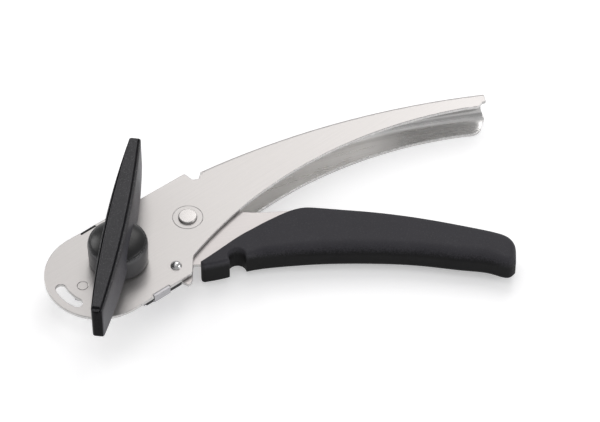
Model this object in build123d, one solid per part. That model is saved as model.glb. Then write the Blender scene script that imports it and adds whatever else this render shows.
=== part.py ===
from build123d import *
import os
import math

# ---------------------------------------------------------------------------
# Hand can opener: a stamped steel frame (head plate and channel-shaped arm),
# a pivoted lever with a moulded grip and a cutting wheel, and a turning key
# that drives a toothed feed wheel. Millimetres, +Z up. The origin is on the
# key shaft's axis, on the plane that the tool rests on.
# ---------------------------------------------------------------------------

# --- levels -----------------------------------------------------------------
PLATE_TOP = 14.0          # upper face of the head plate and of the arm
SHEET = 1.5               # thickness of the frame's sheet
PLATE_BOT = PLATE_TOP - SHEET
LEVER_TOP = 12.15         # upper face of the lever plate
LEVER_T = 1.4             # thickness of the lever plate
LEVER_BOT = LEVER_TOP - LEVER_T
BRACKET_BOT = 8.3
BRACKET_TOP = 9.5
WHEEL_BOT = 3.4           # feed wheel
WHEEL_TOP = 7.4
GRIP_BOT = 2.8
GRIP_TOP = 14.3

# --- head plate ---------------------------------------------------------------
HEAD_ANGLE = 39.0         # direction of the head's long axis, from +X
HEAD_R = 22.75            # round end of the head
HEAD_CU, HEAD_CV = -10.0, -1.55   # centre of the round end, in head axes

# --- arm ------------------------------------------------------------------------
ARM_C = (202.27, -230.81) # centre of the arc that the arm's back follows
ARM_R = 326.98            # radius of the arm's back
ARM_X0 = 31.4             # where the channel starts, beside the relief notch
ARM_X1 = 149.3            # end of the arm
ARM_TOP_R = 1.8           # bend radius at the back's upper edge
ARM_BOT_R = 6.0           # large bend radius at the back's lower edge
FL_TOP_C, FL_TOP_R = (182.93, -91.33), 179.3   # edge of the upper flange
FL_BOT_C, FL_BOT_R = (171.75, -89.40), 171.5   # edge of the lower flange

# --- pivots and wheels ---------------------------------------------------------
PIVOT = (27.1, 22.5)      # lever pivot
PIVOT_BUSH_R = 6.1
RIVET_R = 3.8
SHAFT_R = 3.0             # key shaft in its bush
SHAFT_TIP_R = 2.4         # key shaft below its shoulder
FEED_R = 6.2              # feed wheel, over the teeth
CUT_R = 7.2               # cutting wheel
CUT_CLOSED = (0.5, 14.3)  # axis of the cutting wheel with the lever closed
LEVER_TRAVEL = 12.0       # degrees from open to closed
FIT = 0.05                # radial clearance of running fits
STOP = (23.1, -3.3)       # stop pin
GUIDE_RIVET = (-13.8, -13.7)
NOTCH_C, NOTCH_R = (47.3, 2.2), 3.6   # half-round notch in the grip

# --- turning key ------------------------------------------------------------------
KEY_ANGLE = 82.5          # direction of the blade, from +X
KEY_HALF = 46.0           # half length of the blade
HUB_R = 12.1
HUB_BOT = 14.7
HUB_TOP = 27.0
BLADE_BOT = 20.6
BLADE_TOP = 37.6

os.makedirs("parts", exist_ok=True)


# --- helpers ----------------------------------------------------------------------
def hp(u, v):
    """Head axes (u along the head, v across it) to plan coordinates."""
    a = math.radians(HEAD_ANGLE)
    return (u * math.cos(a) - v * math.sin(a), u * math.sin(a) + v * math.cos(a))


def line(a, b):
    return Edge.make_line((a[0], a[1], 0), (b[0], b[1], 0))


def arc3(a, m, b):
    return Edge.make_three_point_arc((a[0], a[1], 0), (m[0], m[1], 0), (b[0], b[1], 0))


def spl(pts):
    return Edge.make_spline([Vector(p[0], p[1], 0) for p in pts])


def prism(edges, z0, z1):
    face = Face(Wire(edges))
    if face.normal_at().Z < 0:
        face = -face
    return Pos(0, 0, z0) * extrude(face, amount=z1 - z0, dir=(0, 0, 1))


def poly(pts, z0, z1):
    n = len(pts)
    return prism([line(pts[i], pts[(i + 1) % n]) for i in range(n)], z0, z1)


def cyl(c, r, z0, z1):
    return Pos(c[0], c[1], (z0 + z1) / 2) * Cylinder(r, z1 - z0)


def tube(c, ri, ro, z0, z1):
    return cyl(c, ro, z0, z1) - cyl(c, ri, z0 - 1, z1 + 1)


def rot(p, c, deg):
    a = math.radians(deg)
    x, y = p[0] - c[0], p[1] - c[1]
    return (c[0] + x * math.cos(a) - y * math.sin(a), c[1] + x * math.sin(a) + y * math.cos(a))


def on_arc(c, r, x):
    """Point of a circle's upper half at x."""
    return (x, c[1] + math.sqrt(r * r - (x - c[0]) ** 2))


def one(shape):
    """The single solid of a result, cleaned."""
    s = shape.solids()
    if len(s) != 1:
        raise ValueError(f"{len(s)} solids where one was expected")
    return s[0]


def soften(shape, edges, r):
    """Fillet that leaves the shape alone where the radius doesn't fit."""
    for k in (1.0, 0.85, 0.7, 0.6, 0.45):
        try:
            out = fillet(edges, r * k)
            if out.is_valid and out.volume > 0:
                return out
        except Exception:
            pass
    print("no fillet", r)
    return shape


def save(shape, name):
    shape.label = name
    export_step(shape, f"parts/{name}.step")
    print(f"{name:18s} {shape.volume:10.2f} mm3")


CUT_OPEN = rot(CUT_CLOSED, PIVOT, -LEVER_TRAVEL)
print("cutting wheel axis, open:", [round(c, 3) for c in CUT_OPEN])

# ---------------------------------------------------------------------------
# frame plate: head plate, upper flange, back and lower flange in one stamping
# ---------------------------------------------------------------------------
hc = hp(HEAD_CU, HEAD_CV)
hu_end = hp(HEAD_CU, HEAD_CV + HEAD_R)          # tangent point, far side
hl_end = hp(HEAD_CU, HEAD_CV - HEAD_R)          # tangent point, near side
h_tip = hp(HEAD_CU - HEAD_R, HEAD_CV)

corner = (25.2, 46.3)                            # head's far edge at the relief notch
n1, n2 = (28.7, 42.9), (31.2, 43.7)              # relief notch
near_corner = (29.75, -6.9)
side_top = (29.8, 0.9)
fl_a = on_arc(FL_TOP_C, FL_TOP_R, 30.1)
fl_m = on_arc(FL_TOP_C, FL_TOP_R, 75.0)
fl_b = on_arc(FL_TOP_C, FL_TOP_R, 144.6)
tip_in = (ARM_X1 - 0.05, 88.2)

# sheet part of the outline stays inside the arm's rounded back
def back(x, inset=0.0):
    return on_arc(ARM_C, ARM_R - inset, x)

b0 = back(ARM_X0, ARM_TOP_R + 0.2)
bm = back(85.0, ARM_TOP_R + 0.2)
b1 = back(ARM_X1, ARM_TOP_R + 0.2)

outline = [
    line(b0, n2), line(n2, n1), line(n1, corner),
    line(corner, hu_end),
    arc3(hu_end, h_tip, hl_end),
    line(hl_end, near_corner),
    line(near_corner, side_top),
    line(side_top, fl_a),
    arc3(fl_a, fl_m, fl_b),
    spl([fl_b, (146.6, 84.2), (147.9, 85.5), (148.8, 86.9), tip_in]),
    line(tip_in, b1),
    arc3(b1, bm, b0),
]
sheet = prism(outline, PLATE_BOT, PLATE_TOP)

# round the plate's plan corners
def corner_edges(shape, pts, tol=0.3):
    out = []
    for e in shape.edges().filter_by(Axis.Z):
        c = e.center()
        if any(math.hypot(c.X - p[0], c.Y - p[1]) < tol for p in pts):
            out.append(e)
    return out

sheet = soften(sheet, corner_edges(sheet, [near_corner]), 2.2)
sheet = soften(sheet, corner_edges(sheet, [side_top]), 6.0)
sheet = soften(sheet, corner_edges(sheet, [corner]), 0.8)
sheet = soften(sheet, corner_edges(sheet, [n1]), 1.2)

# channel: C section turned about the arm's centre
def section(ro, inner):
    """Closed C-shaped profile in the radial plane; inner is the flange length."""
    R = ro
    t = SHEET
    rt, rb = ARM_TOP_R, ARM_BOT_R
    z0, z1 = 0.0, PLATE_TOP
    def p(r, z):
        return (r, 0, z)
    k = math.sqrt(0.5)
    e = []
    e.append(Edge.make_line(p(R - inner, z1), p(R - rt, z1)))
    e.append(Edge.make_three_point_arc(p(R - rt, z1), p(R - rt + rt * k, z1 - rt + rt * k), p(R, z1 - rt)))
    e.append(Edge.make_line(p(R, z1 - rt), p(R, z0 + rb)))
    e.append(Edge.make_three_point_arc(p(R, z0 + rb), p(R - rb + rb * k, z0 + rb - rb * k), p(R - rb, z0)))
    e.append(Edge.make_line(p(R - rb, z0), p(R - inner, z0)))
    e.append(Edge.make_line(p(R - inner, z0), p(R - inner, z0 + t)))
    e.append(Edge.make_line(p(R - inner, z0 + t), p(R - rb, z0 + t)))
    ri = rb - t
    e.append(Edge.make_three_point_arc(p(R - rb, z0 + t), p(R - rb + ri * k, z0 + rb - ri * k), p(R - t, z0 + rb)))
    ru = rt - t
    e.append(Edge.make_line(p(R - t, z0 + rb), p(R - t, z1 - rt)))
    e.append(Edge.make_three_point_arc(p(R - t, z1 - rt), p(R - rt + ru * k, z1 - rt + ru * k), p(R - rt, z1 - t)))
    e.append(Edge.make_line(p(R - rt, z1 - t), p(R - inner, z1 - t)))
    e.append(Edge.make_line(p(R - inner, z1 - t), p(R - inner, z1)))
    return Face(Wire(e))

a0 = math.degrees(math.atan2(back(ARM_X0)[1] - ARM_C[1], ARM_X0 - ARM_C[0]))
a1 = math.degrees(math.atan2(back(ARM_X1)[1] - ARM_C[1], ARM_X1 - ARM_C[0]))
prof = section(ARM_R, 34.0)
channel = revolve(prof, Axis.Z, a0 - a1)
channel = Pos(ARM_C[0], ARM_C[1], 0) * Rot(0, 0, a1) * channel

# trim of the lower flange: its free edge follows its own arc, and tapers out
# towards the head
g_s = on_arc(FL_BOT_C, FL_BOT_R, 52.0)
g_m = on_arc(FL_BOT_C, FL_BOT_R, 90.0)
g_e = on_arc(FL_BOT_C, FL_BOT_R, 142.8)
low_trim = prism([
    arc3(g_s, g_m, g_e),
    spl([g_e, (145.9, 80.3), (147.9, 82.0), (148.6, 84.6)]),
    line((148.6, 84.6), (149.2, 87.6)),
    line((149.2, 87.6), (165.0, 86.0)),
    line((165.0, 86.0), (165.0, -20.0)),
    line((165.0, -20.0), (10.0, -20.0)),
    line((10.0, -20.0), (10.0, 38.0)),
    line((10.0, 38.0), (33.5, 45.4)),
    spl([(33.5, 45.4), (38.0, 45.2), (43.0, 41.2), (48.0, 35.6), g_s]),
], -1.0, 3.2)
# the upper flange's own trim follows the plate's outline, so the turned
# section keeps only the bend and the first millimetres of it
up_trim = prism([
    arc3(back(ARM_X0 - 6, 5.0), back(85.0, 5.0), back(ARM_X1 + 4, 5.0)),
    line(back(ARM_X1 + 4, 5.0), (175.0, -30.0)),
    line((175.0, -30.0), (10.0, -30.0)),
    line((10.0, -30.0), back(ARM_X0 - 6, 5.0)),
], 10.5, 16.0)
channel = channel - low_trim - up_trim

frame = sheet + channel

# end of the back is relieved between the flanges
end = back(ARM_X1)
ang = math.degrees(math.atan2(end[1] - ARM_C[1], end[0] - ARM_C[0]))
relief = Pos(end[0], end[1], 7.6) * Rot(0, 0, ang) * Pos(0, -10.7, 0) * Rot(0, 90, 0) * Cylinder(12.0, 12)
frame = frame - relief

# openings of the plate
TAB_U0, TAB_U1, TAB_V = -0.7, 7.5, -23.15
frame = frame - poly([hp(TAB_U0, TAB_V), hp(TAB_U1, TAB_V), hp(TAB_U1, -30), hp(TAB_U0, -30)], 10.0, 16.0)
LUG_U, LUG_V = 3.75, 19.95
frame = frame - poly([hp(-LUG_U, LUG_V), hp(LUG_U, LUG_V), hp(LUG_U, 24), hp(-LUG_U, 24)], 10.0, 16.0)

# hanging slot: curved, parallel to the round end
SLOT_R, SLOT_W = 17.4, 4.2
SLOT_A0, SLOT_A1 = 167.0, 201.0                 # degrees, in head axes
def hpol(r, deg):
    a = math.radians(deg)
    return hp(HEAD_CU + r * math.cos(a), HEAD_CV + r * math.sin(a))
sm = (SLOT_A0 + SLOT_A1) / 2
h = SLOT_W / 2
def capm(deg, sign):
    a = math.radians(deg + sign * 90)
    c = (HEAD_CU + SLOT_R * math.cos(math.radians(deg)), HEAD_CV + SLOT_R * math.sin(math.radians(deg)))
    return hp(c[0] + h * math.cos(a), c[1] + h * math.sin(a))
slot = prism([
    arc3(hpol(SLOT_R + h, SLOT_A0), hpol(SLOT_R + h, sm), hpol(SLOT_R + h, SLOT_A1)),
    arc3(hpol(SLOT_R + h, SLOT_A1), capm(SLOT_A1, 1), hpol(SLOT_R - h, SLOT_A1)),
    arc3(hpol(SLOT_R - h, SLOT_A1), hpol(SLOT_R - h, sm), hpol(SLOT_R - h, SLOT_A0)),
    arc3(hpol(SLOT_R - h, SLOT_A0), capm(SLOT_A0, -1), hpol(SLOT_R + h, SLOT_A0)),
], 10.0, 16.0)
frame = frame - slot
BUSH_R = 4.6
frame = frame - cyl((0, 0), BUSH_R, 10, 16)
frame = frame - cyl(PIVOT, PIVOT_BUSH_R, 10, 16)
frame = frame - cyl(STOP, 1.6, 10, 16)
frame = frame - cyl(GUIDE_RIVET, 2.1, 10, 16)
frame = one(frame)
save(frame, "frame_plate")

# ---------------------------------------------------------------------------
# fixed small pieces on the frame
# ---------------------------------------------------------------------------
# bush for the key shaft
bush = tube((0, 0), SHAFT_R + FIT, BUSH_R, PLATE_BOT, PLATE_TOP) + tube((0, 0), SHAFT_R + FIT, 6.0, 11.0, PLATE_BOT)
save(one(bush), "shaft_bush")

# pivot: bush in the plate, rivet through it, washer under the lever
save(one(tube(PIVOT, RIVET_R, PIVOT_BUSH_R, 10.7, PLATE_TOP)), "pivot_bush")
save(one(tube(PIVOT, PIVOT_BUSH_R, 10.0, LEVER_TOP + 0.05, PLATE_BOT)), "pivot_spacer")
save(one(tube(PIVOT, RIVET_R, 9.0, 10.0, 10.7)), "pivot_washer")
rivet = cyl(PIVOT, RIVET_R, 10.0, 15.1)
rivet = soften(rivet, rivet.edges().group_by(Axis.Z)[-1], 0.45)
foot = cyl(PIVOT, 6.4, 8.8, 10.0)
foot = soften(foot, foot.edges().group_by(Axis.Z)[0], 0.9)
save(one(rivet + foot), "pivot_rivet")

# stop pin: domed head above the plate, shank down beside the lever
dome = Pos(STOP[0], STOP[1], PLATE_TOP - 0.55) * Sphere(2.4)
dome = dome & cyl(STOP, 3.0, PLATE_TOP, 20)
pin = dome + cyl(STOP, 1.6, PLATE_BOT, PLATE_TOP) + cyl(STOP, 1.6, 9.9, PLATE_BOT)
save(one(pin), "stop_pin")

# rim guide: plastic bar under the plate, with a lug in the far edge and a
# thin lip along the near edge
RG_LIP = 10.6
rg = poly([hp(-4.6, -22.6), hp(9.6, -22.6), hp(10.4, -19.0), hp(6.5, -13.5), hp(4.2, -4.0), hp(4.2, 18.6), hp(-4.6, 18.6), hp(-4.6, 8.0), hp(-9.6, 8.0), hp(-9.6, -8.0), hp(-4.6, -8.0)],
          BRACKET_TOP, PLATE_BOT)
rg = rg + poly([hp(-4.2, -24.0), hp(13.4, -24.0), hp(13.6, -20.0), hp(-4.2, -20.0)], RG_LIP, PLATE_BOT)
rg = rg + poly([hp(-4.0, 18.0), hp(4.0, 18.0), hp(4.0, 20.9), hp(-4.0, 20.6)], RG_LIP, PLATE_BOT)
rg = rg + poly([hp(-LUG_U + 0.1, LUG_V + 0.08), hp(LUG_U - 0.1, LUG_V + 0.08), hp(LUG_U - 0.1, 20.95), hp(-LUG_U + 0.1, 20.9)],
               PLATE_BOT - 0.5, PLATE_TOP - 0.05)
rg = rg - poly([hp(TAB_U0 - 0.1, -21.4), hp(TAB_U1 + 0.1, -21.4), hp(TAB_U1 + 0.1, -30), hp(TAB_U0 - 0.1, -30)], 8.0, 13.0)
rg = rg - cyl((0, 0), 6.5, 8.0, 14.5)
save(one(rg), "rim_guide")

# guide bracket: steel strip under the rim guide, with a cranked tab that
# stands up in the plate's edge notch
gb = poly([hp(-4.6, -21.5), hp(8.6, -21.5), hp(9.6, -19.0), hp(6.5, -13.5), hp(4.2, -4.0), hp(4.2, 16.5), hp(-4.6, 16.5),
           hp(-9.6, 8.0), hp(-20.5, 3.0), hp(-23.6, -2.0), hp(-20.5, -7.0), hp(-9.6, -10.0)], BRACKET_BOT, BRACKET_TOP)
gb = gb - cyl((0, 0), 6.5, 7.0, 14.5) - cyl(GUIDE_RIVET, 1.6, 7.0, 12.0)
TAB_OUT = -24.5
crank = [(-21.0, BRACKET_BOT), (-22.1, BRACKET_BOT), (TAB_OUT, 10.5), (TAB_OUT, PLATE_TOP), (TAB_V - 0.1, PLATE_TOP),
         (TAB_V - 0.1, 11.2), (-21.7, BRACKET_TOP), (-21.0, BRACKET_TOP)]
n = len(crank)
cf = Face(Wire([Edge.make_line((0, crank[i][0], crank[i][1]), (0, crank[(i + 1) % n][0], crank[(i + 1) % n][1])) for i in range(n)]))
tab = extrude(cf, amount=TAB_U1 - TAB_U0 - 0.3, dir=(1, 0, 0))
gb = gb + Rot(0, 0, HEAD_ANGLE) * Pos(TAB_U0 + 0.15, 0, 0) * tab
save(one(gb), "guide_bracket")

gr = cyl(GUIDE_RIVET, 2.1, PLATE_BOT, PLATE_TOP) + cyl(GUIDE_RIVET, 2.9, BRACKET_TOP, PLATE_BOT) \
    + cyl(GUIDE_RIVET, 1.6, BRACKET_BOT, BRACKET_TOP) + cyl(GUIDE_RIVET, 2.7, 7.5, BRACKET_BOT)
save(one(gr), "guide_rivet")

# ---------------------------------------------------------------------------
# lever
# ---------------------------------------------------------------------------
C = CUT_OPEN
FR = 4.6
hook_l = (STOP[0] + 1.6 + 0.35, -1.0)
lever_outline = [
    # round front end over the cutting wheel
    arc3((C[0] - 0.6, C[1] - FR + 0.04), (C[0] - FR, C[1] + 0.3), (C[0] + 0.3, C[1] + FR)),
    # far edge: over the pivot and on to the grip
    spl([(C[0] + 0.3, C[1] + FR), (9.0, 27.6), (18.0, 33.0), (27.5, 34.6), (37.0, 31.5), (44.5, 28.0), (52.0, 26.8), (60.0, 26.9), (74.0, 28.6)]),
    spl([(74.0, 28.6), (76.5, 27.2), (78.5, 24.5), (79.0, 23.0)]),
    # tang inside the grip
    line((79.0, 23.0), (138.0, 14.6)),
    line((138.0, 14.6), (138.0, 9.6)),
    line((138.0, 9.6), (100.0, 13.0)),
    line((100.0, 13.0), (56.0, 10.0)),
    line((56.0, 10.0), (51.5, 9.9)),
    line((51.5, 9.9), (47.3, 9.5)),
    line((47.3, 9.5), (43.0, 7.8)),
    line((43.0, 7.8), (41.5, 4.9)),
    line((41.5, 4.9), (38.0, 0.6)),
    line((38.0, 0.6), (36.0, -0.4)),
    line((36.0, -0.4), (34.2, -1.2)),
    line((34.2, -1.2), (30.0, -1.25)),
    # hook that meets the stop pin
    spl([(30.0, -1.25), (29.75, -3.0), (29.75, -5.0), (29.7, -8.6), (29.1, -10.7), (28.2, -11.7)]),
    line((28.2, -11.7), (25.6, -10.2)),
    line((25.6, -10.2), hook_l),
    # inner edge back to the front end
    spl([hook_l, (24.2, 3.0), (21.0, 8.0), (16.0, 12.2), (9.5, 14.6), (C[0] - 0.6, C[1] - FR + 0.04)]),
]
lever = prism(lever_outline, LEVER_BOT, LEVER_TOP)
lever_full = lever
lever = lever - cyl(PIVOT, PIVOT_BUSH_R + FIT, 5, 16) - cyl(C, 2.2, 5, 16)
save(one(lever), "lever_plate")

# grip: moulded over the lever's tang
grip_outline = [
    spl([(32.8, -0.9), (39.5, 5.0), (47.0, 11.8), (56.3, 18.75), (64.0, 23.75), (71.0, 27.4), (74.5, 28.3), (78.5, 28.4), (86.2, 27.95), (106.6, 25.75),
         (125.8, 22.15), (142.7, 17.95), (151.5, 15.5), (156.6, 13.1), (158.9, 9.6), (159.3, 5.0), (159.1, 0.6)]),
    spl([(159.1, 0.6), (157.3, -1.2), (150.0, 0.25), (140.6, 2.0), (121.4, 4.7), (101.0, 5.9), (85.6, 5.8), (72.5, 5.1), (60.0, 4.2), (51.0, 2.5), (43.6, -0.5), (35.2, -2.75)]),
    spl([(35.2, -2.75), (34.0, -2.95), (33.1, -2.3), (32.8, -0.9)]),
]
grip = prism(grip_outline, GRIP_BOT, GRIP_TOP)
grip = soften(grip, [e for e in grip.edges() if abs(e.center().Z - GRIP_TOP) < 0.01], 3.6)
grip = soften(grip, [e for e in grip.edges() if abs(e.center().Z - GRIP_BOT) < 0.01], 2.2)
grip = grip - cyl(NOTCH_C, NOTCH_R, -1, 16)
pocket = prism(lever_outline, LEVER_BOT, LEVER_TOP)
grip = grip - pocket
save(one(grip), "grip")

# cutting wheel on its axle
save(one(tube(C, 2.2, 4.2, 8.4, LEVER_BOT)), "cutter_spacer")
axle = cyl(C, 2.2, 2.6, LEVER_TOP) + cyl(C, 3.6, 1.9, 2.6)
axle = axle + cyl(C, 2.7, 7.9, 8.4)
save(one(axle), "cutter_axle")
save(one(tube(C, 2.2, 3.4, 2.6, 3.1)), "cutter_washer")
# bevelled disc with a hub, edge at 5.2
cw = cyl(C, 4.6, 3.2, 7.8)
bev = Pos(C[0], C[1], 0) * revolve(Face(Wire([
    Edge.make_line((0, 0, 4.2), (CUT_R - 1.6, 0, 4.2)),
    Edge.make_line((CUT_R - 1.6, 0, 4.2), (CUT_R, 0, 5.15)),
    Edge.make_line((CUT_R, 0, 5.15), (CUT_R, 0, 5.35)),
    Edge.make_line((CUT_R, 0, 5.35), (CUT_R - 1.6, 0, 5.9)),
    Edge.make_line((CUT_R - 1.6, 0, 5.9), (0, 0, 5.9)),
    Edge.make_line((0, 0, 5.9), (0, 0, 4.2))])), Axis.Z, 360)
cw = cw + bev - cyl(C, 2.2 + FIT, 0, 12)
save(one(cw), "cutting_wheel")

# ---------------------------------------------------------------------------
# turning key and its shaft
# ---------------------------------------------------------------------------
shaft = cyl((0, 0), SHAFT_TIP_R, 0.0, 7.9) + cyl((0, 0), SHAFT_R, 7.9, 25.0)
shaft = shaft - Rot(0, 0, KEY_ANGLE) * Pos(0, 0, 20.0) * Rot(0, 90, 0) * Cylinder(1.0, 20)
save(one(shaft), "key_shaft")
kpin = Rot(0, 0, KEY_ANGLE) * Pos(0, 0, 20.0) * Rot(0, 90, 0) * Cylinder(1.0, 14)
save(one(kpin), "key_pin")
save(one(tube((0, 0), SHAFT_R, 9.5, 14.3, HUB_BOT)), "key_washer")

def lens(hw_mid, hw_tip, half, z):
    a, b = (-half, hw_tip), (half, hw_tip)
    c, d = (half, -hw_tip), (-half, -hw_tip)
    e = [Edge.make_three_point_arc((a[0], a[1], z), (0, hw_mid, z), (b[0], b[1], z)),
         Edge.make_line((b[0], b[1], z), (c[0], c[1], z)),
         Edge.make_three_point_arc((c[0], c[1], z), (0, -hw_mid, z), (d[0], d[1], z)),
         Edge.make_line((d[0], d[1], z), (a[0], a[1], z))]
    f = Face(Wire(e))
    return f if f.normal_at().Z > 0 else -f

blade = loft([lens(5.9, 2.2, KEY_HALF, BLADE_BOT), lens(4.6, 2.3, KEY_HALF, BLADE_TOP - 1.0)])
strip = extrude(lens(3.4, 1.85, KEY_HALF - 1.3, BLADE_TOP - 1.1), amount=1.1, dir=(0, 0, 1))
hub = cyl((0, 0), HUB_R, HUB_BOT, HUB_TOP)
hub = soften(hub, hub.edges().group_by(Axis.Z)[-1], 3.0)
key = Rot(0, 0, KEY_ANGLE) * (blade + strip)
key = key + hub
key = key - cyl((0, 0), SHAFT_R, 10.0, 25.0) - kpin
save(one(key), "turning_key")

# feed wheel: teeth all round
TEETH = 26
fw = cyl((0, 0), FEED_R, WHEEL_BOT, WHEEL_TOP)
for i in range(TEETH):
    t = Rot(0, 0, 360.0 * i / TEETH) * Pos(FEED_R + 0.15, 0, (WHEEL_BOT + WHEEL_TOP) / 2) * Rot(0, 0, 45) * Box(0.75, 0.75, 8)
    fw = fw - t
fw = fw - cyl((0, 0), SHAFT_TIP_R, 0, 12)
save(one(fw), "feed_wheel")
save(one(tube((0, 0), SHAFT_TIP_R, 4.8, WHEEL_TOP, 7.9)), "feed_washer")
nut = Pos(0, 0, 0.9) * extrude(RegularPolygon(4.3, 6), amount=WHEEL_BOT - 0.9)
nut = nut - cyl((0, 0), SHAFT_TIP_R, -1, 6)
save(one(nut), "shaft_nut")
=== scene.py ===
import bpy
import bmesh
import math
import numpy as np
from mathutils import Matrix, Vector


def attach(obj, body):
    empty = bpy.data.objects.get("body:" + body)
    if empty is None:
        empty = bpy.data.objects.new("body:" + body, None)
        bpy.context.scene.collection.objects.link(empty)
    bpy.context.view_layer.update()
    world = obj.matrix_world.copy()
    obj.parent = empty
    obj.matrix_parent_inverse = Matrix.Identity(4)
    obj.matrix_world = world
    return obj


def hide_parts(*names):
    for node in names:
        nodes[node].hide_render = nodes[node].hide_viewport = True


# Hand can opener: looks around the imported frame. Shape numbers in this file
# are millimetres in the row frame; meshes are written in metres.

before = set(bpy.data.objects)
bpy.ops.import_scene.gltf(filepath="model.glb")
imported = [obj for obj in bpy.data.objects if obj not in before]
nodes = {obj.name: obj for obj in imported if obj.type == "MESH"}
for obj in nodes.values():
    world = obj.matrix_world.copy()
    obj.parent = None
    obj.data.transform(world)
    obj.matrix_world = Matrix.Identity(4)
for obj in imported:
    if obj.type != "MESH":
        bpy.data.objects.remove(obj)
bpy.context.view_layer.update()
MM = 0.001
scene = bpy.context.scene

# --------------------------------------------------------------------------
# camera, light, floor
# --------------------------------------------------------------------------
cam_data = bpy.data.cameras.new("camera")
cam_data.sensor_width = 36.0
cam_data.lens = 198.0
cam_data.clip_start = 0.05
cam_data.clip_end = 20.0
cam = bpy.data.objects.new("camera", cam_data)
cam.location = (0.07252, -0.85838, 1.01697)
cam.rotation_euler = (math.radians(41.4), 0.0, 0.0)
scene.collection.objects.link(cam)
scene.camera = cam
scene.view_settings.view_transform = "Standard"


def softbox(name, at, target, size, radiance, colour=(1, 1, 1), spread=180.0):
    d = bpy.data.lights.new(name, "AREA")
    d.shape = "RECTANGLE"
    d.size, d.size_y = size
    d.energy = radiance * math.pi * size[0] * size[1]
    d.color = colour
    d.spread = math.radians(spread)
    o = bpy.data.objects.new(name, d)
    o.location = at
    o.rotation_euler = (Vector(target) - Vector(at)).to_track_quat("-Z", "Y").to_euler()
    scene.collection.objects.link(o)
    return o


softbox("softbox_back", (0.19, 0.70, 0.84), (0.08, 0.02, 0.0), (0.78, 1.0), 1.45, (1.0, 0.985, 0.975))
softbox("softbox_tip", (0.36, 0.93, 0.80), (0.15, 0.08, 0.0), (0.36, 0.42), 1.3, (1.0, 0.99, 0.98))
softbox("softbox_left", (-0.85, 0.60, 0.62), (0.0, 0.0, 0.0), (0.55, 0.5), 3.6, (1.0, 0.995, 0.985))
softbox("softbox_top", (-0.1, -0.15, 1.3), (0.05, 0.0, 0.0), (0.7, 0.5), 0.9, (1.0, 0.995, 0.99))
softbox("softbox_right", (0.95, -0.25, 0.45), (0.05, 0.0, 0.0), (0.6, 0.5), 2.6)

world = bpy.data.worlds.new("studio")
world.use_nodes = True
wnt = world.node_tree
wnt.nodes["Background"].inputs["Color"].default_value = (0.43, 0.43, 0.435, 1.0)
wnt.nodes["Background"].inputs["Strength"].default_value = 1.0
scene.world = world


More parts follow.
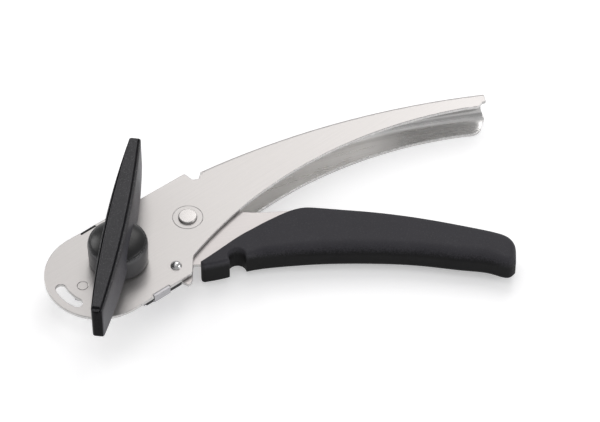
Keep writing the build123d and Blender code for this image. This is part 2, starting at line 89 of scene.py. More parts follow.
# --------------------------------------------------------------------------
# node helpers
# --------------------------------------------------------------------------
class Mat:
    """Small wrapper that keeps node building short."""

    def __init__(self, name):
        self.m = bpy.data.materials.new(name)
        self.m.use_nodes = True
        self.t = self.m.node_tree
        self.t.nodes.clear()
        self.out = self.t.nodes.new("ShaderNodeOutputMaterial")
        self.b = self.t.nodes.new("ShaderNodeBsdfPrincipled")
        self.t.links.new(self.b.outputs["BSDF"], self.out.inputs["Surface"])

    def node(self, kind, **kw):
        n = self.t.nodes.new(kind)
        for k, v in kw.items():
            setattr(n, k, v)
        return n

    def link(self, a, b):
        self.t.links.new(a, b)

    def coords(self):
        """Object coordinates in millimetres."""
        tc = self.node("ShaderNodeTexCoord")
        sc = self.node("ShaderNodeVectorMath", operation="SCALE")
        sc.inputs["Scale"].default_value = 1000.0
        self.link(tc.outputs["Object"], sc.inputs[0])
        return sc.outputs["Vector"]

    def mapped(self, vec, angle=0.0, scale=(1, 1, 1), offset=(0, 0, 0)):
        """vec turned by -angle degrees about Z, so that x runs along that direction, then scaled."""
        r = self.node("ShaderNodeVectorRotate", rotation_type="Z_AXIS")
        r.inputs["Angle"].default_value = math.radians(-angle)
        self.link(vec, r.inputs["Vector"])
        m = self.node("ShaderNodeVectorMath", operation="MULTIPLY")
        m.inputs[1].default_value = scale
        self.link(r.outputs["Vector"], m.inputs[0])
        a = self.node("ShaderNodeVectorMath", operation="ADD")
        a.inputs[1].default_value = offset
        self.link(m.outputs["Vector"], a.inputs[0])
        return a.outputs["Vector"]

    def polar(self, vec, centre, radius, scale=(1, 1, 1)):
        """(distance along an arc about centre, radius, z) in mm, scaled."""
        s = self.node("ShaderNodeVectorMath", operation="SUBTRACT")
        s.inputs[1].default_value = (centre[0], centre[1], 0.0)
        self.link(vec, s.inputs[0])
        x = self.node("ShaderNodeSeparateXYZ")
        self.link(s.outputs["Vector"], x.inputs[0])
        at = self.math("ARCTAN2", x.outputs["Y"], x.outputs["X"])
        arc = self.math("MULTIPLY", at, radius * scale[0])
        xx = self.math("MULTIPLY", x.outputs["X"], x.outputs["X"])
        yy = self.math("MULTIPLY", x.outputs["Y"], x.outputs["Y"])
        rr = self.math("SQRT", self.math("ADD", xx, yy))
        rs = self.math("MULTIPLY", rr, scale[1])
        zs = self.math("MULTIPLY", x.outputs["Z"], scale[2])
        c = self.node("ShaderNodeCombineXYZ")
        self.link(arc, c.inputs["X"])
        self.link(rs, c.inputs["Y"])
        self.link(zs, c.inputs["Z"])
        return c.outputs["Vector"]

    def math(self, op, a, b=None, clamp=False):
        n = self.node("ShaderNodeMath", operation=op, use_clamp=clamp)
        for i, v in enumerate((a, b)):
            if v is None:
                continue
            if isinstance(v, (int, float)):
                n.inputs[i].default_value = v
            else:
                self.link(v, n.inputs[i])
        return n.outputs[0]

    def noise(self, vec, scale=1.0, detail=2.0, rough=0.5, distortion=0.0):
        n = self.node("ShaderNodeTexNoise")
        n.inputs["Scale"].default_value = scale
        n.inputs["Detail"].default_value = detail
        n.inputs["Roughness"].default_value = rough
        n.inputs["Distortion"].default_value = distortion
        self.link(vec, n.inputs["Vector"])
        return n.outputs["Fac"]

    def voronoi(self, vec, scale=1.0, feature="F1"):
        n = self.node("ShaderNodeTexVoronoi", feature=feature)
        n.inputs["Scale"].default_value = scale
        self.link(vec, n.inputs["Vector"])
        return n.outputs["Distance"]

    def remap(self, v, a, b, lo, hi, smooth=False):
        n = self.node("ShaderNodeMapRange", interpolation_type="SMOOTHSTEP" if smooth else "LINEAR")
        n.inputs["From Min"].default_value = a
        n.inputs["From Max"].default_value = b
        n.inputs["To Min"].default_value = lo
        n.inputs["To Max"].default_value = hi
        self.link(v, n.inputs["Value"])
        return n.outputs["Result"]

    def mix(self, fac, c1, c2):
        n = self.node("ShaderNodeMix", data_type="RGBA", blend_type="MIX")
        for sock, v in ((n.inputs[0], fac), (n.inputs[6], c1), (n.inputs[7], c2)):
            if isinstance(v, (int, float)):
                sock.default_value = v
            elif isinstance(v, tuple):
                sock.default_value = v if len(v) == 4 else (*v, 1.0)
            else:
                self.link(v, sock)
        return n.outputs[2]

    def bump(self, height, strength=1.0, distance_mm=0.01, normal=None):
        n = self.node("ShaderNodeBump")
        n.inputs["Strength"].default_value = strength
        n.inputs["Distance"].default_value = distance_mm * MM
        self.link(height, n.inputs["Height"])
        if normal is not None:
            self.link(normal, n.inputs["Normal"])
        return n.outputs["Normal"]

    def shade(self, **kw):
        for k, v in kw.items():
            s = self.b.inputs[k.replace("_", " ")]
            if isinstance(v, (int, float)):
                s.default_value = v
            elif isinstance(v, tuple):
                s.default_value = v if len(v) == 4 else (*v, 1.0)
            else:
                self.link(v, s)


ARM_C, ARM_R = (202.27, -230.81), 326.98


def steel(name, lo, hi, rough=(0.26, 0.36), angle=0.0, arc=False, line=(0.035, 3.2, 3.2), fine=0.004,
          scuffs=0.25, cloud=0.06, spin=None, metal=0.82, painted_shade_zone=None):
    """Brushed or satin steel: fine lines along one direction, soft clouding and a few hair scuffs."""
    k = Mat(name)
    v = k.coords()
    if spin is not None:
        g = k.polar(v, spin, 6.0, (0.12, line[1], line[2]))
    elif arc:
        g = k.polar(v, ARM_C, ARM_R, line)
    else:
        g = k.mapped(v, angle, line)
    lines = k.noise(g, 1.0, 4.0, 0.62)
    clouds = k.noise(v, cloud, 3.0, 0.55)
    hair = k.noise(k.mapped(v, angle + 23.0, (0.05, 2.1, 2.1), (31.0, 7.0, 3.0)), 1.0, 2.0, 0.5)
    scratch = k.remap(hair, 0.70, 0.76, 0.0, 1.0, True)
    tone = k.math("ADD", k.math("MULTIPLY", lines, 0.62), k.math("MULTIPLY", clouds, 0.38))
    tone = k.remap(tone, 0.34, 0.66, 0.0, 1.0)
    col = k.mix(tone, lo, hi)
    col = k.mix(k.math("MULTIPLY", scratch, scuffs), col, tuple(min(1.0, c * 1.12) for c in hi))
    if painted_shade_zone is not None:
        # painted shade (x0, x1, z0, z1, share): beyond x0..x1 and above z0..z1 the colour goes down to share
        x = k.node("ShaderNodeSeparateXYZ")
        k.link(v, x.inputs[0])
        wob = k.math("ADD", x.outputs["Z"], k.remap(clouds, 0.3, 0.7, -1.0, 1.0))
        m = k.math("MULTIPLY", k.remap(x.outputs["X"], painted_shade_zone[0], painted_shade_zone[1], 0.0, 1.0, True),
                   k.remap(wob, painted_shade_zone[2], painted_shade_zone[3], 0.0, 1.0, True))
        col = k.mix(m, col, tuple(c * painted_shade_zone[4] for c in hi))
    r = k.math("ADD", k.remap(lines, 0.3, 0.7, rough[0], rough[1]), k.remap(clouds, 0.3, 0.7, -0.025, 0.025))
    k.shade(Base_Color=col, Metallic=metal, Roughness=r)
    k.shade(Normal=k.bump(k.math("ADD", lines, k.math("MULTIPLY", scratch, 0.25)), 1.0, fine))
    return k.m


def plastic(name, lo, hi, rough=(0.46, 0.60), grain=2.2, depth=0.02, spec=0.35, blotch=0.10, ior=1.48, painted_light_by_height=None, spark=0.0):
    """Moulded plastic with a fine spark-eroded grain. The height argument (z0, z1, share) is painted light and shade:
    below z0 the colour goes to share times the dark tone, back to the plain colour at z1, so sides read shaded (share
    < 1) or lit (share > 1)."""
    k = Mat(name)
    v = k.coords()
    fine = k.noise(v, grain, 3.0, 0.6)
    cells = k.voronoi(v, grain * 1.35)
    clouds = k.noise(v, blotch, 3.0, 0.5)
    tone = k.math("ADD", k.math("MULTIPLY", fine, 0.6), k.math("MULTIPLY", clouds, 0.4))
    col = k.mix(k.remap(tone, 0.34, 0.68, 0.0, 1.0), lo, hi)
    if spark:
        dots = k.noise(k.mapped(v, 17.0, (1, 1, 1), (5.0, 9.0, 2.0)), 2.3, 1.0, 0.4)
        col = k.mix(k.remap(dots, 0.62, 0.70, 0.0, spark, True), col, (0.16, 0.16, 0.165))
    # painted light and shade by height: below z0 (a noisy boundary) the colour is share times the dark tone, plain
    # above z1
    if painted_light_by_height is not None:
        x = k.node("ShaderNodeSeparateXYZ")
        k.link(v, x.inputs[0])
        zn = k.math("ADD", x.outputs["Z"], k.remap(fine, 0.25, 0.75, -1.1, 1.1))
        up = k.remap(zn, painted_light_by_height[0], painted_light_by_height[1], 0.0, 1.0, True)
        col = k.mix(up, tuple(c * painted_light_by_height[2] for c in lo), col)
    r = k.math("ADD", k.remap(fine, 0.3, 0.7, rough[0], rough[1]), k.remap(clouds, 0.3, 0.7, -0.03, 0.03))
    k.shade(Base_Color=col, Roughness=r, IOR=ior, Specular_IOR_Level=spec)
    h = k.math("ADD", k.math("MULTIPLY", fine, 0.7), k.math("MULTIPLY", cells, 0.5))
    k.shade(Normal=k.bump(h, 1.0, depth))
    return k.m


M = {
    "plate": steel("steel_plate", (0.460, 0.446, 0.437), (0.516, 0.498, 0.489), (0.30, 0.37), angle=39.0, metal=0.76),
    "arm": steel("steel_arm", (0.457, 0.443, 0.434), (0.517, 0.498, 0.489), (0.29, 0.37), arc=True, metal=0.76),
    # steel_channel_painted_light_and_shade: far lighter than the plate steel, painted light on the channel's inside,
    # and painted shade towards the tip above z 1.4 to 3.6
    "inner": steel("steel_channel_painted_light_and_shade", (0.84, 0.83, 0.82), (0.99, 0.98, 0.965), (0.25, 0.35), arc=True,
                   line=(0.028, 1.5, 1.5), fine=0.006, scuffs=0.2, cloud=0.045, metal=0.86, painted_shade_zone=(96.0, 126.0, 1.4, 3.6, 0.50)),
    "under": steel("steel_underside", (0.42, 0.41, 0.405), (0.50, 0.49, 0.48), (0.33, 0.43), angle=39.0),
    # flange and cut edges: their own finish with lines across, and lighter than the plate steel as a painted highlight
    # along the edges
    "rim": steel("steel_flange_edge_painted_highlight", (0.50, 0.495, 0.49), (0.68, 0.67, 0.66), (0.20, 0.30), angle=90.0,
                 line=(1.1, 1.1, 0.35), fine=0.01),
    "edge": steel("steel_cut_edge_painted_highlight", (0.46, 0.455, 0.45), (0.64, 0.63, 0.62), (0.24, 0.34), angle=90.0,
                  line=(1.1, 1.1, 0.35), fine=0.01),
    "lever": steel("steel_lever", (0.455, 0.434, 0.428), (0.515, 0.486, 0.479), (0.30, 0.38), angle=10.0, metal=0.76),
    "bright": steel("steel_bright", (0.56, 0.55, 0.545), (0.66, 0.65, 0.645), (0.15, 0.22), angle=20.0,
                    line=(0.5, 2.2, 2.2), fine=0.002),
    "pivot": steel("steel_pivot", (0.50, 0.485, 0.475), (0.57, 0.55, 0.54), (0.24, 0.32), angle=64.0,
                   line=(0.2, 2.6, 2.6), fine=0.003),
    "chrome": steel("steel_polished", (0.66, 0.65, 0.65), (0.76, 0.755, 0.75), (0.03, 0.07), angle=0.0, metal=1.0,
                    line=(0.6, 1.2, 1.2), fine=0.001, scuffs=0.1),
    # steel_tab_painted_shade: a darker, slightly violet copy of the steel for the guide bracket, painted shade on its
    # front face
    "tab": steel("steel_tab_painted_shade", (0.36, 0.355, 0.37), (0.46, 0.455, 0.47), (0.24, 0.34), angle=25.0, line=(0.3, 2.4, 2.4),
                 fine=0.004),
    "hard": steel("steel_hardened", (0.30, 0.295, 0.295), (0.42, 0.415, 0.41), (0.24, 0.36), angle=0.0,
                  line=(1.4, 1.4, 0.5), fine=0.008),
    # plastic_grip: below z 10.2 the colour goes down to 0.09 of the dark tone, painted shade on the grip's sides under
    # the lit top
    "grip": plastic("plastic_grip", (0.0330, 0.0320, 0.0372), (0.0450, 0.0436, 0.0500), (0.50, 0.62), 2.0, 0.034, 0.16,
                    painted_light_by_height=(10.2, 13.5, 0.09), spark=0.10),
    # plastic_key: below z 31 the colour goes up to 3.4 times the dark tone, painted light on the blade's sides below
    # the strip
    "key": plastic("plastic_key", (0.0155, 0.0151, 0.0176), (0.0360, 0.0352, 0.0394), (0.38, 0.54), 2.0, 0.050, 0.32,
                   painted_light_by_height=(31.0, 36.9, 3.4), spark=0.55),
    # plastic_key_end_painted_shade: a darker copy of the key plastic for the blade's end faces, painted shade
    "key_end": plastic("plastic_key_end_painted_shade", (0.0060, 0.0058, 0.0070), (0.0110, 0.0108, 0.0124), (0.24, 0.34), 2.2, 0.012, 0.05),
    # plastic_hub: below z 24.9 the colour goes up to 14 times the dark tone, painted light on the hub's skirt under
    # the dome
    "hub": plastic("plastic_hub", (0.0050, 0.0050, 0.0052), (0.0085, 0.0084, 0.0088), (0.27, 0.36), 2.6, 0.012, 0.44,
                   painted_light_by_height=(24.9, 25.5, 14.0)),
    "guide": plastic("plastic_guide", (0.008, 0.008, 0.009), (0.014, 0.014, 0.015), (0.45, 0.6), 2.4, 0.02, 0.35),
}


# --------------------------------------------------------------------------
# mesh helpers
# --------------------------------------------------------------------------
def mesh_object(name, verts_mm, faces, mats, smooth_angle=35.0):
    me = bpy.data.meshes.new(name)
    me.from_pydata([tuple(c * MM for c in v) for v in verts_mm], [], faces)
    me.validate()
    for m in mats:
        me.materials.append(m)
    me.polygons.foreach_set("use_smooth", [True] * len(me.polygons))
    if smooth_angle is not None:
        me.set_sharp_from_angle(angle=math.radians(smooth_angle))
    me.update()
    o = bpy.data.objects.new(name, me)
    scene.collection.objects.link(o)
    return o


def bevel(o, width_mm, segments=2, angle=35.0, weighted=True):
    b = o.modifiers.new("bevel", "BEVEL")
    b.width = width_mm * MM
    b.segments = segments
    b.limit_method = "ANGLE"
    b.angle_limit = math.radians(angle)
    b.use_clamp_overlap = False
    b.miter_outer = "MITER_SHARP"
    b.harden_normals = False
    if weighted:
        w = o.modifiers.new("normals", "WEIGHTED_NORMAL")
        w.keep_sharp = True
        w.weight = 60
    return o


def smooth_arcs(bm, centres, cuts=3, longest=2.0):
    """Divides long chords of arcs about the given plan centres, and moves the new points onto the arcs."""
    for cx, cy in centres:
        rad = lambda co: math.hypot(co.x / MM - cx, co.y / MM - cy)
        chosen, rings = [], set()
        for e in bm.edges:
            a, b = e.verts[0].co, e.verts[1].co
            ra, rb = rad(a), rad(b)
            if abs(a.z - b.z) < 1e-6 and abs(ra - rb) < 0.012 and e.calc_length() > longest * MM and ra > 60:
                mid = (a + b) / 2
                sag = ra - rad(mid)
                if abs(sag - ra * (1 - math.cos(math.asin(min(1.0, e.calc_length() / MM / 2 / ra))))) < 0.01 and sag > 0.002:
                    chosen.append(e)
                    rings.add((round(a.z / MM, 2), round((ra + rb) / 2, 2)))
        if not chosen:
            continue
        out = bmesh.ops.subdivide_edges(bm, edges=chosen, cuts=cuts, use_grid_fill=False)
        for v in {g for g in out["geom_inner"] if isinstance(g, bmesh.types.BMVert)}:
            z, r = v.co.z / MM, rad(v.co)
            near = [(q[1] - r, q[1]) for q in rings if abs(q[0] - z) < 0.02 and -0.01 <= q[1] - r < 0.12]
            if near:
                k = min(near)[1] / r
                v.co.x = (cx + (v.co.x / MM - cx) * k) * MM
                v.co.y = (cy + (v.co.y / MM - cy) * k) * MM


def weigh_edges(o, where):
    """Bevel weights: 1 on the edges for which where(middle in mm, angle in degrees, length in mm) holds."""
    bm = bmesh.new()
    bm.from_mesh(o.data)
    w = [0.0] * len(bm.edges)
    for i, e in enumerate(bm.edges):
        if len(e.link_faces) == 2:
            a, b = e.verts[0].co, e.verts[1].co
            if where((a + b) / 2 / MM, math.degrees(e.calc_face_angle(0.0)), e.calc_length() / MM):
                w[i] = 1.0
    bm.free()
    at = o.data.attributes.new("bevel_weight_edge", "FLOAT", "EDGE")
    at.data.foreach_set("value", w)
    o.modifiers["bevel"].limit_method = "WEIGHT"


def refine(name, mats, body, width=0.12, segments=2, angle=35.0, pick=None, flat_angle=0.6, arcs=(), where=None):
    """A finished copy of a CAD node: merged, planar faces joined, edges broken, and materials by face."""
    src = nodes[name].data
    bm = bmesh.new()
    bm.from_mesh(src)
    bmesh.ops.remove_doubles(bm, verts=bm.verts, dist=1.5e-6)
    bmesh.ops.dissolve_limit(bm, angle_limit=math.radians(flat_angle), verts=bm.verts, edges=bm.edges,
                             use_dissolve_boundaries=False)
    bmesh.ops.dissolve_degenerate(bm, dist=1e-6, edges=bm.edges)
    smooth_arcs(bm, arcs)
    bm.verts.ensure_lookup_table()
    for i, v in enumerate(bm.verts):
        v.index = i
    verts = [tuple(c / MM for c in v.co) for v in bm.verts]
    faces = [[v.index for v in f.verts] for f in bm.faces]
    bm.free()
    o = mesh_object(name + "_look", verts, faces, mats, angle)
    if pick is not None:
        for p in o.data.polygons:
            c = p.center / MM
            p.material_index = pick(c, p.normal)
    if width:
        bevel(o, width, segments, angle)
        if where is not None:
            weigh_edges(o, where)
    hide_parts(name)
    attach(o, body)
    return o


def natural_spline(points, closed=False, step=0.4):
    """Points along a natural cubic spline through the given plan points."""
    p = np.array(points, float)
    t = np.concatenate([[0.0], np.cumsum(np.linalg.norm(np.diff(p, axis=0), axis=1))])
    n = len(p)
    h = np.diff(t)
    a = np.zeros((n, n))
    rhs = np.zeros((n, 2))
    a[0, 0] = a[-1, -1] = 1.0
    for i in range(1, n - 1):
        a[i, i - 1], a[i, i], a[i, i + 1] = h[i - 1], 2 * (h[i - 1] + h[i]), h[i]
        rhs[i] = 6 * ((p[i + 1] - p[i]) / h[i] - (p[i] - p[i - 1]) / h[i - 1])
    m = np.linalg.solve(a, rhs)
    out = []
    for i in range(n - 1):
        k = max(2, int(math.ceil(h[i] / step)))
        for j in range(k):
            s = j / k * h[i]
            u = h[i] - s
            out.append(m[i] * u ** 3 / (6 * h[i]) + m[i + 1] * s ** 3 / (6 * h[i])
                       + (p[i] / h[i] - m[i] * h[i] / 6) * u + (p[i + 1] / h[i] - m[i + 1] * h[i] / 6) * s)
    out.append(p[-1])
    return np.array(out)


class PlanField:
    """Signed distance to a closed plan outline, sampled on a fine grid (mm, negative inside)."""

    def __init__(self, outline, h=0.2, margin=3.0):
        q = np.asarray(outline, float)
        self.h = h
        self.lo = q.min(0) - margin
        n = np.ceil((q.max(0) + margin - self.lo) / h).astype(int) + 1
        xs = self.lo[0] + h * np.arange(n[0])
        ys = self.lo[1] + h * np.arange(n[1])
        gx, gy = np.meshgrid(xs, ys, indexing="ij")
        best = np.full(gx.shape, 1e9)
        inside = np.zeros(gx.shape, bool)
        nxt = np.roll(q, -1, axis=0)
        for a, b in zip(q, nxt):
            d = b - a
            L2 = float(d @ d)
            if L2 < 1e-12:
                continue
            t = np.clip(((gx - a[0]) * d[0] + (gy - a[1]) * d[1]) / L2, 0, 1)
            dd = (gx - a[0] - t * d[0]) ** 2 + (gy - a[1] - t * d[1]) ** 2
            np.minimum(best, dd, out=best)
            if a[1] != b[1]:
                cross = ((a[1] > gy) != (b[1] > gy)) & (gx < (b[0] - a[0]) * (gy - a[1]) / (b[1] - a[1]) + a[0])
                inside ^= cross
        self.d = np.sqrt(best) * np.where(inside, -1.0, 1.0)

    def __call__(self, x, y):
        fx = np.clip((x - self.lo[0]) / self.h, 0, self.d.shape[0] - 1.001)
        fy = np.clip((y - self.lo[1]) / self.h, 0, self.d.shape[1] - 1.001)
        i, j = fx.astype(int), fy.astype(int)
        u, v = fx - i, fy - j
        d = self.d
        return (d[i, j] * (1 - u) * (1 - v) + d[i + 1, j] * u * (1 - v)
                + d[i, j + 1] * (1 - u) * v + d[i + 1, j + 1] * u * v)


def smoothstep(a, b, x):
    t = np.clip((x - a) / (b - a), 0, 1)
    return t * t * (3 - 2 * t)


def smooth_max(a, b, k):
    h = np.clip(0.5 - 0.5 * (b - a) / k, 0, 1)
    return b * (1 - h) + a * h + k * h * (1 - h)


def rounded(a, b, r):
    """Intersection of two half-spaces given by distance, with the edge rounded by r."""
    p, q = a + r, b + r
    return np.minimum(np.maximum(p, q), 0) + np.sqrt(np.maximum(p, 0) ** 2 + np.maximum(q, 0) ** 2) - r


def surface_net(f, lo, hi, h):
    """Closed quad mesh of f = 0, vertices drawn onto the surface."""
    ax = [np.arange(lo[i], hi[i] + h, h) for i in range(3)]
    X, Y, Z = np.meshgrid(*ax, indexing="ij")
    F = f(X, Y, Z)
    S = F < 0
    n = np.array(F.shape) - 1
    cnt = np.zeros(tuple(n), int)
    sl = lambda d, m: slice(d, d + m)
    for dx in (0, 1):
        for dy in (0, 1):
            for dz in (0, 1):
                cnt += S[sl(dx, n[0]), sl(dy, n[1]), sl(dz, n[2])]
    act = (cnt > 0) & (cnt < 8)
    idx = -np.ones(tuple(n), int)
    idx[act] = np.arange(act.sum())
    ci = np.argwhere(act)
    pos = np.zeros((len(ci), 3))
    num = np.zeros(len(ci))
    corners = [(a, b, c) for a in (0, 1) for b in (0, 1) for c in (0, 1)]
    for a in corners:
        for axis in range(3):
            if a[axis]:
                continue
            b = list(a)
            b[axis] = 1
            ia = ci + np.array(a)
            ib = ci + np.array(b)
            fa = F[ia[:, 0], ia[:, 1], ia[:, 2]]
            fb = F[ib[:, 0], ib[:, 1], ib[:, 2]]
            ch = (fa < 0) != (fb < 0)
            t = np.where(ch, fa / np.where(ch, fa - fb, 1), 0)
            p = ia + (ib - ia) * t[:, None]
            pos += np.where(ch[:, None], p, 0)
            num += ch
    pos = np.array(lo) + h * pos / num[:, None]
    for _ in range(3):
        e = 0.04
        v = f(pos[:, 0], pos[:, 1], pos[:, 2])
        g = np.stack([(f(pos[:, 0] + e, pos[:, 1], pos[:, 2]) - f(pos[:, 0] - e, pos[:, 1], pos[:, 2])) / (2 * e),
                      (f(pos[:, 0], pos[:, 1] + e, pos[:, 2]) - f(pos[:, 0], pos[:, 1] - e, pos[:, 2])) / (2 * e),
                      (f(pos[:, 0], pos[:, 1], pos[:, 2] + e) - f(pos[:, 0], pos[:, 1], pos[:, 2] - e)) / (2 * e)], 1)
        g2 = np.maximum((g * g).sum(1), 0.2)
        stepv = np.clip(v / g2, -h * 0.5, h * 0.5)
        pos -= g * stepv[:, None]
    faces = []
    for axis in range(3):
        o1, o2 = [(1, 2), (2, 0), (0, 1)][axis]
        a = S
        b = np.roll(S, -1, axis=axis)
        e = np.argwhere((a != b))
        e = e[(e[:, axis] < F.shape[axis] - 1) & (e[:, o1] > 0) & (e[:, o2] > 0)
              & (e[:, o1] < F.shape[o1] - 1) & (e[:, o2] < F.shape[o2] - 1)]
        u = np.zeros(3, int)
        w = np.zeros(3, int)
        u[o1], w[o2] = 1, 1
        g = lambda k: idx[k[:, 0], k[:, 1], k[:, 2]]
        q = np.stack([g(e - u - w), g(e - w), g(e), g(e - u)], 1)
        ins = S[e[:, 0], e[:, 1], e[:, 2]]
        q[~ins] = q[~ins][:, ::-1]
        faces.append(q)
    return pos, np.concatenate(faces)


# --------------------------------------------------------------------------
# grip: moulded over the lever's tang
# --------------------------------------------------------------------------
GRIP_B, GRIP_H = 2.8, 14.3
far_pts = [(32.8, -0.9), (39.5, 5.0), (47.0, 11.8), (56.3, 18.75), (64.0, 23.75), (71.0, 27.4), (74.5, 28.3),
           (78.5, 28.4), (86.2, 27.95), (106.6, 25.75), (125.8, 22.15), (142.7, 17.95), (151.5, 15.5), (156.6, 13.1),
           (158.9, 9.6), (159.3, 5.0), (159.1, 0.6)]
near_pts = [(159.1, 0.6), (157.3, -1.2), (150.0, 0.25), (140.6, 2.0), (121.4, 4.7), (101.0, 5.9), (85.6, 5.8),
            (72.5, 5.1), (60.0, 4.2), (51.0, 2.5), (43.6, -0.5), (35.2, -2.75)]
nose_pts = [(35.2, -2.75), (34.0, -2.95), (33.1, -2.3), (32.8, -0.9)]
outline = np.concatenate([natural_spline(far_pts)[:-1], natural_spline(near_pts)[:-1], natural_spline(nose_pts)[:-1]])
plan = PlanField(outline)
NOTCH_C, NOTCH_R = (47.3, 2.2), 3.6


def grip_field(x, y, z):
    d = plan(x, y)
    dn = np.hypot(x - NOTCH_C[0], y - NOTCH_C[1]) - NOTCH_R
    wide = smoothstep(50.0, 80.0, x)
    mid = 14.5 + 3.0 * np.sin(np.clip((x - 50.0) / 110.0, 0, 1) * math.pi) - 0.055 * (x - 60.0)
    far = smoothstep(-4.0, 4.0, y - mid)
    end = smoothstep(148.0, 157.0, x)
    r_near = 0.8 + 2.0 * smoothstep(50.0, 58.0, x) + 2.2 * wide
    r_far = 0.8 + 1.8 * smoothstep(63.0, 92.0, x)
    r = r_near * (1 - far) + r_far * far
    r = r * (1 - end) + 3.0 * end
    r = np.minimum(r, 0.5 + 0.8 * np.maximum(dn, 0))
    r_bot = 0.9 + 1.6 * wide
    r_bot = np.minimum(r_bot, 0.6 + 0.75 * np.maximum(dn, 0))
    side = smooth_max(d, -dn, 0.5)
    top = rounded(side, z - GRIP_H, r)
    bot = rounded(side, GRIP_B - z, r_bot)
    return np.maximum(top, bot)


gv, gf = surface_net(grip_field, (31.6, -4.2, 1.9), (160.6, 29.8, 15.3), 0.45)
gv[:, 2] = np.clip(gv[:, 2], GRIP_B, GRIP_H)
grip = mesh_object("grip_look", gv, gf.tolist(), [M["grip"]], None)
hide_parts("grip")
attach(grip, "lever")

# --------------------------------------------------------------------------
# turning key: flared blade with a raised strip, on a domed hub
# --------------------------------------------------------------------------
KEY_ANGLE = math.radians(82.5)
KEY_HALF = 46.0


def turned(u, v, z):
    c, s = math.cos(KEY_ANGLE), math.sin(KEY_ANGLE)
    return (u * c - v * s, u * s + v * c, z)


def lens_half(u, mid, tip):
    s = mid - tip
    R = (KEY_HALF ** 2 + s * s) / (2 * s) if s > 1e-6 else 1e9
    return mid - (R - math.sqrt(max(R * R - u * u, 0.0)))


def blade_section(u, narrow=False):
    """One side of the blade's section as (half width, z), from the bottom centre to the top centre.
    narrow: the side on which the raised strip leaves a wider shoulder."""
    wb, wt = lens_half(u, 5.9, 2.2), lens_half(u, 4.6, 2.3)
    ws = lens_half(u, 2.95, 1.05) if narrow else lens_half(u, 3.4, 1.85)
    f = lambda z: wb + (wt - wb) * (z - 20.6) / 16.0
    g = min(0.62, max(0.2, (wt - ws) * 0.62))
    pts = [(0.0, 20.6), (wb * 0.5, 20.6), (wb - 0.7, 20.6)]
    for k in range(1, 6):
        a = k / 5 * math.pi / 2
        pts.append((wb - 0.7 + 0.7 * math.sin(a) * f(21.3) / wb, 21.3 - 0.7 * math.cos(a)))
    for z in (24.0, 28.0, 32.0, 35.0):
        pts.append((f(z), z))
    pts += [(f(36.1), 36.15), (f(36.4) - 0.10, 36.42), (ws + g + 0.10, 36.50), (ws + g, 36.38),
            (ws + g - 0.05, 35.9), (ws + g - 0.14, 35.35), (ws + 0.12, 35.3), (ws + 0.03, 35.7), (ws, 36.6)]
    for k in range(0, 5):
        a = k / 4 * math.pi / 2
        pts.append((ws - 0.32 + 0.32 * math.cos(a), 37.28 + 0.32 * math.sin(a)))
    pts += [(ws * 0.72, 37.6), (ws * 0.4, 37.6), (0.0, 37.6)]
    e = abs(u) - (KEY_HALF - 1.55)
    if e > 0:
        drop = smooth(e, 0.0, 0.42)
        pts = [(w, z if z <= 36.5 else z + (36.5 - z) * drop) for w, z in pts]
    return pts


def blade_mesh():
    us = [0.0]
    near_end = (0.06, 0.2, 0.42, 0.75, 1.0, 1.13, 1.2, 1.27, 1.34, 1.41, 1.48, 1.55, 1.8, 2.8)
    for d in near_end:
        us.append(d)
    us += [2.8 + (92.0 - 5.6) * k / 60 for k in range(1, 60)]
    us += [92.0 - d for d in reversed(near_end)] + [92.0]
    verts, faces, rows = [], [], []
    RE = 1.2
    zc = 29.1
    for s in us:
        u = -KEY_HALF + s
        e = min(s, 92.0 - s)
        inset = RE - math.sqrt(max(RE * RE - (RE - e) ** 2, 0.0)) if e < RE else 0.0
        half = blade_section(u)
        ring = [(w, z) for w, z in half] + [(-w, z) for w, z in reversed(blade_section(u, True)[1:-1])]
        row = []
        for w, z in ring:
            sc = 1.0 - inset / max(lens_half(u, 5.0, 2.2), 1.0)
            zz = z
            if z > zc:
                zz = z - inset * 0.55 * smooth(z, 34.5, 37.6)
            else:
                zz = z + inset * 1.0 * smooth(z, 23.0, 20.6)
            row.append(len(verts))
            verts.append(turned(u, w * sc, zz))
        rows.append(row)
    n = len(rows[0])
    for a, b in zip(rows, rows[1:]):
        for i in range(n):
            j = (i + 1) % n
            faces.append([a[i], b[i], b[j], a[j]])
    # end caps: strips across the section between matching sides
    half_n = len(blade_section(0.0))
    for row, flip in ((rows[0], False), (rows[-1], True)):
        for i in range(half_n - 1):
            l0 = row[(n - i) % n]
            l1 = row[(n - i - 1) % n]
            q = [row[i], row[i + 1], l1, l0]
            q = [x for k, x in enumerate(q) if x not in q[:k]]
            if len(q) >= 3:
                faces.append(q if not flip else q[::-1])
    return verts, faces


def smooth(x, a, b):
    t = min(1.0, max(0.0, (x - a) / (b - a)))
    return t * t * (3 - 2 * t)


bv, bf = blade_mesh()
blade = mesh_object("key_blade", bv, bf, [M["key"], M["key_end"]], 48.0)
bmk = bmesh.new()
bmk.from_mesh(blade.data)
bmesh.ops.recalc_face_normals(bmk, faces=bmk.faces)
axis = Vector(turned(1.0, 0.0, 0.0))
# the end faces get the darker key_end plastic: painted shade
for f in bmk.faces:
    f.material_index = 1 if abs(f.normal.x * axis.x + f.normal.y * axis.y) > 0.75 else 0
bmk.to_mesh(blade.data)
bmk.free()
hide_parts("turning_key")
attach(blade, "key")


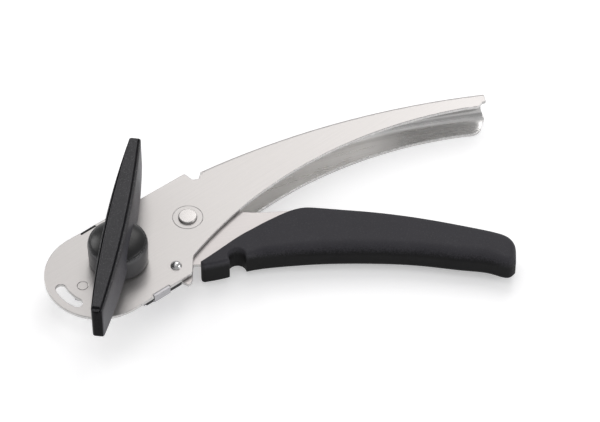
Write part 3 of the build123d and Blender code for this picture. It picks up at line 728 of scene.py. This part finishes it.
def lathe(name, profile, mats, segments=128, centre=(0.0, 0.0), angle=40.0):
    """Closed solid of revolution from a closed (r, z) profile in mm; points on the axis are single."""
    verts, faces, cols = [], [], []
    for r, z in profile:
        if r < 1e-6:
            cols.append([len(verts)] * segments)
            verts.append((centre[0], centre[1], z))
        else:
            base = len(verts)
            for i in range(segments):
                a = 2 * math.pi * i / segments
                verts.append((centre[0] + r * math.cos(a), centre[1] + r * math.sin(a), z))
            cols.append(list(range(base, base + segments)))
    n = len(profile)
    closed_loop = profile[0][0] > 1e-6 and profile[-1][0] > 1e-6
    for k in range(n if closed_loop else n - 1):
        a, b = cols[k], cols[(k + 1) % n]
        for i in range(segments):
            j = (i + 1) % segments
            q = [a[i], a[j], b[j], b[i]]
            q = [x for m, x in enumerate(q) if x not in q[:m]]
            if len(q) >= 3:
                faces.append(q)
    o = mesh_object(name, verts, faces, mats, angle)
    bm = bmesh.new()
    bm.from_mesh(o.data)
    bmesh.ops.recalc_face_normals(bm, faces=bm.faces)
    bm.to_mesh(o.data)
    bm.free()
    return o


hub_profile = [(3.02, 14.7), (11.45, 14.7), (11.68, 14.76), (11.84, 14.92), (11.90, 15.15), (12.00, 18.0), (12.06, 21.0),
               (12.12, 23.0), (12.09, 23.9), (11.90, 24.65), (11.66, 25.2), (11.42, 25.48), (11.26, 25.56),
               (11.17, 25.50), (11.08, 25.52), (11.05, 25.62), (11.00, 25.76), (10.88, 25.93), (10.6, 26.14),
               (10.0, 26.5), (9.2, 26.92), (8.2, 27.35), (7.0, 27.77), (5.6, 28.13), (4.0, 28.4), (2.0, 28.56),
               (0.0, 28.6), (0.0, 25.0), (3.02, 25.0)]
hub_profile = [p for p in hub_profile]
hub = lathe("key_hub", hub_profile, [M["hub"]], 160)
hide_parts("turning_key")
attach(hub, "key")


# --------------------------------------------------------------------------
# steel pieces: finished copies of the CAD
# --------------------------------------------------------------------------
def frame_pick(c, n):
    """0 plate, 1 arm outside, 2 channel inside, 3 underside, 4 cut edge, 5 flange edge."""
    dx, dy = c.x - ARM_C[0], c.y - ARM_C[1]
    r = math.hypot(dx, dy)
    out = (n.x * dx + n.y * dy) / r
    in_arm = c.x > 33.0 and r > 285.0
    if n.z > 0.85 and c.z > 13.0:
        return 1 if in_arm and c.x > 45.0 else 0
    if in_arm and c.x > 36.5:
        along = abs(n.x * dy - n.y * dx) / r
        if along > 0.7 and c.x > 140.0:
            return 5
        if abs(n.z) < 0.35 and (c.z > 12.4 or c.z < 1.6) and r < ARM_R - 6.2:
            return 5
        if r < ARM_R - 1.2 and n.z < -0.85 and c.z > 12.0:
            return 2
        if n.z > 0.85 and c.z < 4.0:
            return 2
        if n.z < -0.6 and c.z < 2.5:
            return 1
        if out > 0.05:
            return 1
        return 2
    if n.z < -0.85:
        return 3
    return 4


def cut_edge(m, a, length):
    """The plate's punched edges; the bends and the web between them keep their own rounding."""
    r = math.hypot(m.x - ARM_C[0], m.y - ARM_C[1])
    bend = 33.0 < m.x < 149.2 and r > ARM_R - 7.2
    return a > 45.0 and length > 0.1 and not bend


refine("frame_plate", [M["plate"], M["arm"], M["inner"], M["under"], M["edge"], M["rim"]], "frame",
       width=0.24, segments=3, pick=frame_pick, arcs=[(182.93, -91.33), (171.75, -89.40)], where=cut_edge)


def lever_pick(c, n):
    return 0 if abs(n.z) > 0.85 else 1


refine("lever_plate", [M["lever"], M["edge"]], "lever", width=0.14, pick=lever_pick)
refine("shaft_bush", [M["bright"]], "frame", width=0.12)
refine("pivot_bush", [M["plate"]], "frame", width=0.10)
refine("pivot_spacer", [M["bright"]], "frame", width=0.10)
refine("pivot_washer", [M["bright"]], "frame", width=0.12)
refine("pivot_rivet", [M["pivot"]], "frame", width=0.0)
refine("stop_pin", [M["chrome"]], "frame", width=0.0)
refine("rim_guide", [M["guide"]], "frame", width=0.15)
refine("guide_bracket", [M["tab"]], "frame", width=0.16, segments=3)
refine("guide_rivet", [M["plate"]], "frame", width=0.14)
refine("cutter_spacer", [M["bright"]], "lever", width=0.12)
refine("cutter_axle", [M["bright"]], "lever", width=0.15)
refine("cutter_washer", [M["bright"]], "lever", width=0.08)
refine("cutting_wheel", [M["hard"]], "cutter", width=0.05, angle=28.0)
refine("key_shaft", [M["bright"]], "key", width=0.15)
refine("key_pin", [M["bright"]], "key", width=0.10)
refine("key_washer", [M["bright"]], "key", width=0.08)
refine("feed_wheel", [M["hard"]], "key", width=0.05)
refine("feed_washer", [M["bright"]], "key", width=0.08)
refine("shaft_nut", [M["bright"]], "key", width=0.18)

# --------------------------------------------------------------------------
# floor: plain and pale, one even tone
# --------------------------------------------------------------------------
fm = bpy.data.meshes.new("floor")
S = 3.0
nfl = 6
fv = [(-S + 2 * S * i / nfl, -S + 2 * S * j / nfl, 0.0) for i in range(nfl + 1) for j in range(nfl + 1)]
ff = [[i * (nfl + 1) + j, (i + 1) * (nfl + 1) + j, (i + 1) * (nfl + 1) + j + 1, i * (nfl + 1) + j + 1]
      for i in range(nfl) for j in range(nfl)]
fm.from_pydata(fv, [], ff)
floor = bpy.data.objects.new("floor", fm)
scene.collection.objects.link(floor)
fmat = bpy.data.materials.new("floor_pale")
fmat.use_nodes = True
ft = fmat.node_tree
ft.nodes.clear()
fo = ft.nodes.new("ShaderNodeOutputMaterial")
seen = ft.nodes.new("ShaderNodeBsdfDiffuse")
seen.inputs["Color"].default_value = (0.88, 0.88, 0.885, 1)
glow = ft.nodes.new("ShaderNodeEmission")
glow.inputs["Color"].default_value = (1, 1, 1, 1)
glow.inputs["Strength"].default_value = 0.36
add = ft.nodes.new("ShaderNodeAddShader")
ft.links.new(seen.outputs[0], add.inputs[0])
ft.links.new(glow.outputs[0], add.inputs[1])
ft.links.new(add.outputs[0], fo.inputs["Surface"])
fm.materials.append(fmat)

# --------------------------------------------------------------------------
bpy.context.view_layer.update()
